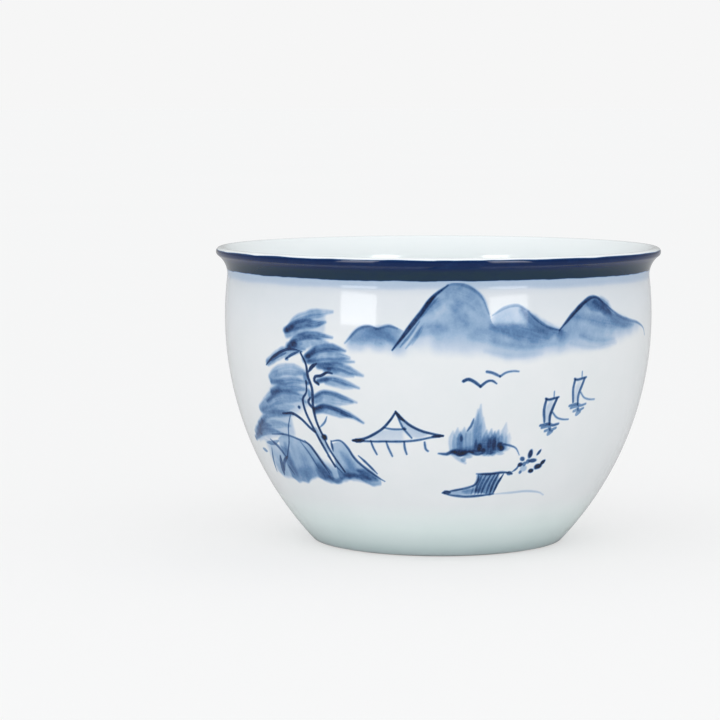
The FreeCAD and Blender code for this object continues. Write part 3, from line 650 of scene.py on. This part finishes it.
def wall_pieces(materials):
    """The outside wall in one-degree cells, shared out between the motifs and the plain glaze."""
    rows = int(round((BAND_LOW - WALL_LOW) / ROW))
    owner = np.zeros((360, rows), dtype=int)
    names = ["outer_glaze"] + list(WINDOWS)
    for k, name in enumerate(names[1:], 1):
        for a0, a1, z0, z1 in WINDOWS[name]:
            i0, i1 = a0 + 180, a1 + 180
            j0, j1 = (int(round((z - WALL_LOW) / ROW)) for z in (z0, z1))
            part = owner[i0:i1, j0:j1]
            part[part == 0] = k
    for k, name in enumerate(names):
        across, up = FINE if k else COARSE
        cells = np.kron(owner == k, np.ones((across, up), dtype=bool))
        i, j = np.nonzero(cells)
        width, height = 360 * across, rows * up + 1
        quads = np.stack([i * height + j, (i + 1) % width * height + j,
                          (i + 1) % width * height + j + 1, i * height + j + 1], 1)
        used, faces = np.unique(quads, return_inverse=True)
        angle = (used // height) / across - 180.0
        z = WALL_LOW + (used % height) * ROW / up
        r, n = wall_r(z), wall_normal(z)
        verts, normals = around(angle, r, z), around(angle, n[:, 0], n[:, 1])
        sheet = Paper(angle, z)
        # Band bleed and painted shade under the flare, all round the wall.
        paint_bleed_and_shade(sheet)
        if k:
            paint(sheet)
        piece = made("painted_" + name if k else "wall_glaze", verts, faces.reshape(-1, 4).tolist(),
                     normals, sheet.ink, materials[name])
        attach(piece, "root")
        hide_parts(name)


def band_ink_and_shade(angle, r, z):
    """Ink of the lip band: darkest under the flare, which paints the shade there, bluer on the roll,
    with a brushed lower edge.
    """
    low = BAND_LOW + 0.05 + 0.28 * clouds(angle * 0.22, z * 0, 81)
    # Full ink under the flare is painted shade; the roll keeps a little less.
    body = 0.90 + 0.10 * (1 - ease(48.5, 49.4, z))
    body = body - 0.04 * clouds(angle * 0.5, z * 2.0, 82)
    return 0.22 + (body - 0.22) * ease(low - 0.05, low + 0.12, z)


def lip_bleed(angle, r, z):
    """The blue creeps a little way over the lip into the clear glaze, unevenly."""
    creep = BAND_HIGH + 0.06 + 0.18 * clouds(angle * 0.12, z * 0, 84)
    return 0.86 * (1 - ease(creep - 0.03, creep + 0.06, z)) * (r > LIP[0])


def inside_run(inset):
    """The inside surface, moved into the clay by an inset, from the crest of the lip to the axis."""
    return chain(
        arc(INNER_FLARE, INNER_FLARE_R - inset, way(INNER_FLARE, LIP),
            way(INNER_FLARE, WALL) + 2 * math.pi),
        arc(WALL, INNER_R + inset, way(WALL, INNER_FLARE), way(WALL, CORNER), 1.0),
        arc(CORNER, CORNER_R + inset, way(WALL, CORNER), way(FLOOR, CORNER)),
        arc(FLOOR, FLOOR_R + inset, way(FLOOR, CORNER), -math.pi / 2, 1.0))


def recess_run(inset):
    """Ceiling, bend and side of the recess under the foot, from the axis out and down."""
    ceiling, side, bend = RECESS[0] + inset, RECESS[1] + inset, RECESS[2] + inset
    reach = side - bend
    flat = np.array([[reach * share, ceiling] for share in (0, 1 / 3, 2 / 3, 1)])
    return chain(flat, arc((reach, ceiling - bend), bend, math.pi / 2, 0.0, 0.2))


def turned_pieces(materials):
    """Lip band, inside, foot bead, recess and the clay seen at the foot ring, each on its own run."""
    start = math.asin((BAND_HIGH - LIP[1]) / LIP_R)
    low = math.pi - math.asin((BAND_LOW - FLARE[1]) / FLARE_R)
    band = chain(arc(FLARE, FLARE_R, low, way(FLARE, LIP), 0.08),
                 arc(LIP, LIP_R, way(LIP, FLARE), start, 0.06))
    lip = chain(arc(LIP, LIP_R, start, way(INNER_FLARE, LIP), 0.06), inside_run(0))
    z = np.linspace(GLAZE_LOW, WALL_LOW, 11)
    slope = math.asin((GLAZE_LOW - WALL[1]) / WALL_R)
    turn = np.linspace(GLAZE, 0, 4)[:-1, None] * -np.array([math.cos(slope), math.sin(slope)])
    bead = chain(np.array([wall_r(GLAZE_LOW).item(), GLAZE_LOW]) + turn, np.stack([wall_r(z), z], 1))
    toe = (WALL[0] + math.sqrt((WALL_R - GLAZE - TOE) ** 2 - (TOE - WALL[1]) ** 2), TOE)
    edge = RECESS[1] + GLAZE + INNER_TOE
    clay = chain(
        recess_run(GLAZE),
        np.array([[RECESS[1] + GLAZE, RECESS[0] - RECESS[2]], [edge - INNER_TOE, INNER_TOE]]),
        arc((edge, INNER_TOE), INNER_TOE, math.pi, 1.5 * math.pi, 0.15),
        arc(toe, TOE, -math.pi / 2, way(WALL, toe), 0.15),
        arc(WALL, WALL_R - GLAZE, way(WALL, toe), way(WALL, FLARE), 1.5),
        arc(FLARE, FLARE_R + GLAZE, way(FLARE, WALL) + 2 * math.pi, way(FLARE, LIP)),
        arc(LIP, LIP_R - GLAZE, way(LIP, FLARE), way(INNER_FLARE, LIP), 0.3), inside_run(GLAZE))
    base = chain(recess_run(0), np.array([[RECESS[1], INNER_TOE + 0.2]]))
    for name, node, slot, run, ink, turns in [
            ("blue_lip_band", "rim_band", "blue_glaze", band, band_ink_and_shade, 720),
            ("inside_glaze", "inner_glaze", "clear_glaze", lip, lip_bleed, 360),
            ("glaze_bead", None, "clear_glaze", bead, bare, 360),
            ("recess_glaze", "base_glaze", "clear_glaze", base, bare, 180),
            ("clay", "porcelain_body", "porcelain", clay, bare, 180)]:
        piece = lathe(name, run, ink, materials[node or "outer_glaze"], turns)
        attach(piece, "root")
        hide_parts(*([node] if node else []))


# --- finishes -----------------------------------------------------------------------------------

OUTSIDE, OUTSIDE_CLOUD = (236, 240, 241), (243, 248, 247)
# Towards the foot the glaze darkens and greens, partly from pooled glaze and partly as painted shade
# near the floor.
POOL_AND_SHADE_HEIGHT = 10.0       # the glaze's colour changes over this height above the foot


def srgb(*levels):
    """A colour given in screen levels from 0 to 255, as the linear one that sockets take."""
    return tuple(c / 255 / 12.92 if c <= 10 else ((c / 255 + 0.055) / 1.055) ** 2.4
                 for c in levels) + (1.0,)


class Nodes:
    """The node tree of a material or world, with its nodes made and wired in one call each."""

    def __init__(self, owner):
        owner.use_nodes = True
        self.tree = owner.node_tree
        self.tree.nodes.clear()

    def add(self, kind, settings=(), **sockets):
        node = self.tree.nodes.new("ShaderNode" + kind)
        for key, value in dict(settings).items():
            setattr(node, key, value)
        self.fill(node, **sockets)
        return node

    def fill(self, node, **sockets):
        """Sets or wires inputs of a node, each given by name, with _ for a space, or as _number."""
        for key, value in sockets.items():
            socket = node.inputs[int(key[1:])] if key[0] == "_" else node.inputs[key.replace("_", " ")]
            if isinstance(value, bpy.types.NodeSocket):
                self.tree.links.new(value, socket)
            else:
                socket.default_value = value

    def math(self, operation, first, second):
        return self.add("Math", {"operation": operation}, _0=first, _1=second).outputs[0]

    def spread(self, value, low, high, new_low, new_high):
        """A value that runs from low to high, spread over another range."""
        return self.add("MapRange", _0=value, _1=low, _2=high, _3=new_low, _4=new_high).outputs[0]

    def noise(self, place, scale, detail, rough=0.5):
        return self.add("TexNoise", Vector=place, Scale=scale, Detail=detail,
                        Roughness=rough).outputs["Fac"]

    def ramp(self, factor, stops):
        node = self.add("ValToRGB", Fac=factor)
        elements = node.color_ramp.elements
        while len(elements) < len(stops):
            elements.new(0.5)
        for element, (place, colour) in zip(elements, stops):
            element.position = place
            element.color = colour
        return node.outputs["Color"]

    def mix(self, blend, factor, first, second):
        return self.add("Mix", {"data_type": "RGBA", "blend_type": blend}, _0=factor, _6=first,
                        _7=second).outputs[2]


class Surface(Nodes):
    """A new material's node tree, round a principled shader."""

    def __init__(self, name):
        self.material = bpy.data.materials.new(name)
        super().__init__(self.material)
        self.shader = self.add("BsdfPrincipled")
        self.out = self.add("OutputMaterial", Surface=self.shader.outputs[0])
        self.place = self.add("TexCoord").outputs["Object"]


def glaze_material(name, white, pooled, deep=(14, 44, 90), deepest_ink_and_shade=(4, 14, 34),
                   foot_pool_and_shade=(206, 213, 216), grained=0.09, ior=1.5):
    """Glossy glaze over white clay, stained by the ink painted below it, darker at the foot from
    pooled glaze and painted shade. pooled: its colour in faint clouds, deep and deepest: of the
    heaviest ink, which on the band also paints the shade under the flare, settled: at the foot,
    grained: how much the ink speckles."""
    n = Surface(name)
    ink = n.add("Attribute", {"attribute_name": "ink"}).outputs["Fac"]
    speckle = n.noise(n.place, 2600.0, 3.0, 0.6)
    grain = n.spread(speckle, 0.25, 0.75, 1 - grained, 1 + grained * 0.8)
    colour = n.ramp(n.math("MULTIPLY", ink, grain), [
        (0.0, srgb(*white)), (0.12, srgb(200, 214, 230)), (0.3, srgb(156, 184, 213)),
        (0.5, srgb(100, 139, 182)), (0.72, srgb(46, 85, 134)), (0.88, srgb(*deep)),
        (1.0, srgb(*deepest_ink_and_shade))])
    cloud = n.spread(n.noise(n.place, 140.0, 4.0, 0.55), 0.3, 0.7, 0.0, 0.35)
    colour = n.mix("MULTIPLY", cloud, colour, srgb(*pooled))
    height = n.add("SeparateXYZ", Vector=n.place).outputs["Z"]
    # Darker towards the foot: glaze pooled there, and painted shade where the wall nears the floor.
    pool = n.ramp(n.spread(height, 0.0, POOL_AND_SHADE_HEIGHT * S, 0.0, 1.0), [
        (0.0, srgb(*foot_pool_and_shade)), (0.1, srgb(218, 230, 230)), (0.25, srgb(234, 243, 242)),
        (0.5, srgb(247, 254, 252)), (0.75, srgb(252, 255, 254)), (1.0, srgb(252, 250, 251))])
    colour = n.mix("MULTIPLY", 1.0, colour, pool)
    wave = n.noise(n.place, 110.0, 2.0)
    bump = n.add("Bump", Strength=0.12, Distance=0.0001, Height=wave).outputs[0]
    n.fill(n.shader, Base_Color=colour, Normal=bump, Roughness=0.07, IOR=ior)
    return n.material


def bisque_material():
    """Unglazed porcelain: matt, faintly warm, with a fine tooth."""
    n = Surface("bisque_clay")
    fleck = n.noise(n.place, 900.0, 6.0, 0.65)
    colour = n.ramp(fleck, [
        (0.3, srgb(214, 208, 199)), (0.55, srgb(232, 228, 221)), (0.8, srgb(239, 236, 230))])
    bump = n.add("Bump", Strength=0.3, Distance=0.0001, Height=fleck).outputs[0]
    n.fill(n.shader, Base_Color=colour, Normal=bump, Roughness=0.72)
    return n.material


def finishes():
    outside = glaze_material("clear_glaze_outside", OUTSIDE, OUTSIDE_CLOUD)
    painted = glaze_material("cobalt_under_glaze", OUTSIDE, OUTSIDE_CLOUD)
    # The inside is painted a lighter white than the outside, painted light on the same glaze, and gets
    # no darkening at its foot.
    inside = glaze_material("clear_glaze_inside_lightened", (249, 255, 255), (250, 253, 253),
                            foot_pool_and_shade=(255, 255, 255))
    # The band's darkest ink colour is a grey slate: painted shade under the flare, greyed as a painted
    # reflection of the floor.
    band = glaze_material("blue_glaze_band", OUTSIDE, (250, 251, 252), deep=(0, 33, 80),
                          deepest_ink_and_shade=(27, 52, 68), grained=0.01, ior=1.38)
    made_of = {name: painted for name in WINDOWS}
    made_of.update(outer_glaze=outside, inner_glaze=inside, base_glaze=inside, rim_band=band,
                   porcelain_body=bisque_material())
    return made_of


# --- studio -------------------------------------------------------------------------------------

SKY_EVEN, SKY_FRONT, SKY_TOP = 0.37, 0.20, 0.98
FLOOR_SIZE, FLOOR_SHARE = 40.0, 0.6      # half width, and how much of what shows is plain backdrop
LAMP_DISTANCE = 0.4
LEFT, RIGHT = (-40.5, 0.135), (36.1, 0.141)      # heading and width of each side's lamps
CAMERA_AT, CAMERA_TILT, CAMERA_TURN, LENS = (0.0, -0.4684, 0.0754), 84.595, 1.656, 134.9


def grey(level):
    return (level, level, level, 1)


BACKDROP = grey(0.922)


def floor():
    """Pale matt floor that runs into the backdrop, and is dimmer where it is mirrored in the glaze."""
    n = Surface("floor_paint")
    paint_colour = n.ramp(n.noise(n.place, 3.0, 2.0), [(0.3, grey(0.896)), (0.7, grey(0.904))])
    n.fill(n.shader, Base_Color=paint_colour, Roughness=1.0, Specular_IOR_Level=0.0)
    last = n.shader.outputs[0]
    path = n.add("LightPath").outputs
    for ray, shown in (("Is Camera Ray", BACKDROP), ("Is Glossy Ray", grey(0.3))):
        light = n.add("Emission", Color=shown).outputs[0]
        share = n.math("MULTIPLY", path[ray], FLOOR_SHARE)
        last = n.add("MixShader", _0=share, _1=last, _2=light).outputs[0]
    n.fill(n.out, Surface=last)
    mesh = bpy.data.meshes.new("floor")
    corners = [(x * FLOOR_SIZE, y * FLOOR_SIZE, 0) for x, y in ((-1, -1), (1, -1), (1, 1), (-1, 1))]
    mesh.from_pydata(corners, [], [(0, 1, 2, 3)])
    mesh.materials.append(n.material)
    obj = bpy.data.objects.new("floor", mesh)
    bpy.context.scene.collection.objects.link(obj)


def world():
    """Soft light from overhead and in front; mirrored in the glaze, bright low down and dim overhead."""
    studio = bpy.data.worlds.new("studio")
    bpy.context.scene.world = studio
    n = Nodes(studio)
    path = n.add("LightPath").outputs
    heading = n.add("TexCoord").outputs["Generated"]
    height = n.add("SeparateXYZ", _0=heading).outputs["Z"]
    toward = n.add("VectorMath", {"operation": "DOT_PRODUCT"}, _0=heading,
                   _1=(0.0, -SKY_FRONT, SKY_TOP)).outputs["Value"]
    level = n.math("ADD", toward, SKY_EVEN)
    mirrored = n.ramp(height, [
        (0.0, grey(0.38)), (0.25, grey(0.34)), (0.6, grey(0.16)), (1.0, grey(0.08))])
    last = n.add("Background", _0=(0.99, 1.0, 1.005, 1), _1=level).outputs[0]
    for ray, shown in (("Is Glossy Ray", mirrored), ("Is Camera Ray", BACKDROP)):
        light = n.add("Background", _0=shown).outputs[0]
        last = n.add("MixShader", _0=path[ray], _1=last, _2=light).outputs[0]
    n.add("OutputWorld", Surface=last)


def softbox(name, side, height, high, radiance, lights=True):
    """An upright rectangular lamp facing the cup. side: its heading in degrees from the front,
    growing to the right, and its width. One that doesn't light is only seen mirrored."""
    a, wide = math.radians(side[0]), side[1]
    lamp = bpy.data.lights.new(name, "AREA")
    lamp.shape, lamp.size, lamp.size_y = "RECTANGLE", wide, high
    lamp.energy = radiance * math.pi * wide * high
    obj = bpy.data.objects.new(name, lamp)
    obj.location = (LAMP_DISTANCE * math.sin(a), -LAMP_DISTANCE * math.cos(a), height)
    obj.rotation_euler = (math.pi / 2, 0, a)
    obj.visible_camera = False
    obj.visible_diffuse = lights
    bpy.context.scene.collection.objects.link(obj)


def camera():
    lens = bpy.data.cameras.new("camera")
    lens.lens, lens.sensor_width, lens.clip_start, lens.clip_end = LENS, 36.0, 0.05, 200.0
    obj = bpy.data.objects.new("camera", lens)
    obj.location = CAMERA_AT
    obj.rotation_euler = (math.radians(CAMERA_TILT), 0.0, math.radians(CAMERA_TURN))
    bpy.context.scene.collection.objects.link(obj)
    bpy.context.scene.camera = obj


made_of = finishes()
wall_pieces(made_of)
turned_pieces(made_of)
floor()
world()
softbox("window_left", LEFT, 0.058, 0.073, 4.0)
softbox("window_right", RIGHT, 0.059, 0.062, 3.4)
softbox("window_left_top", LEFT, 0.264, 0.265, 7.5, lights=False)
softbox("window_right_top", RIGHT, 0.264, 0.265, 7.5, lights=False)
camera()
bpy.context.scene.view_settings.view_transform = "Standard"
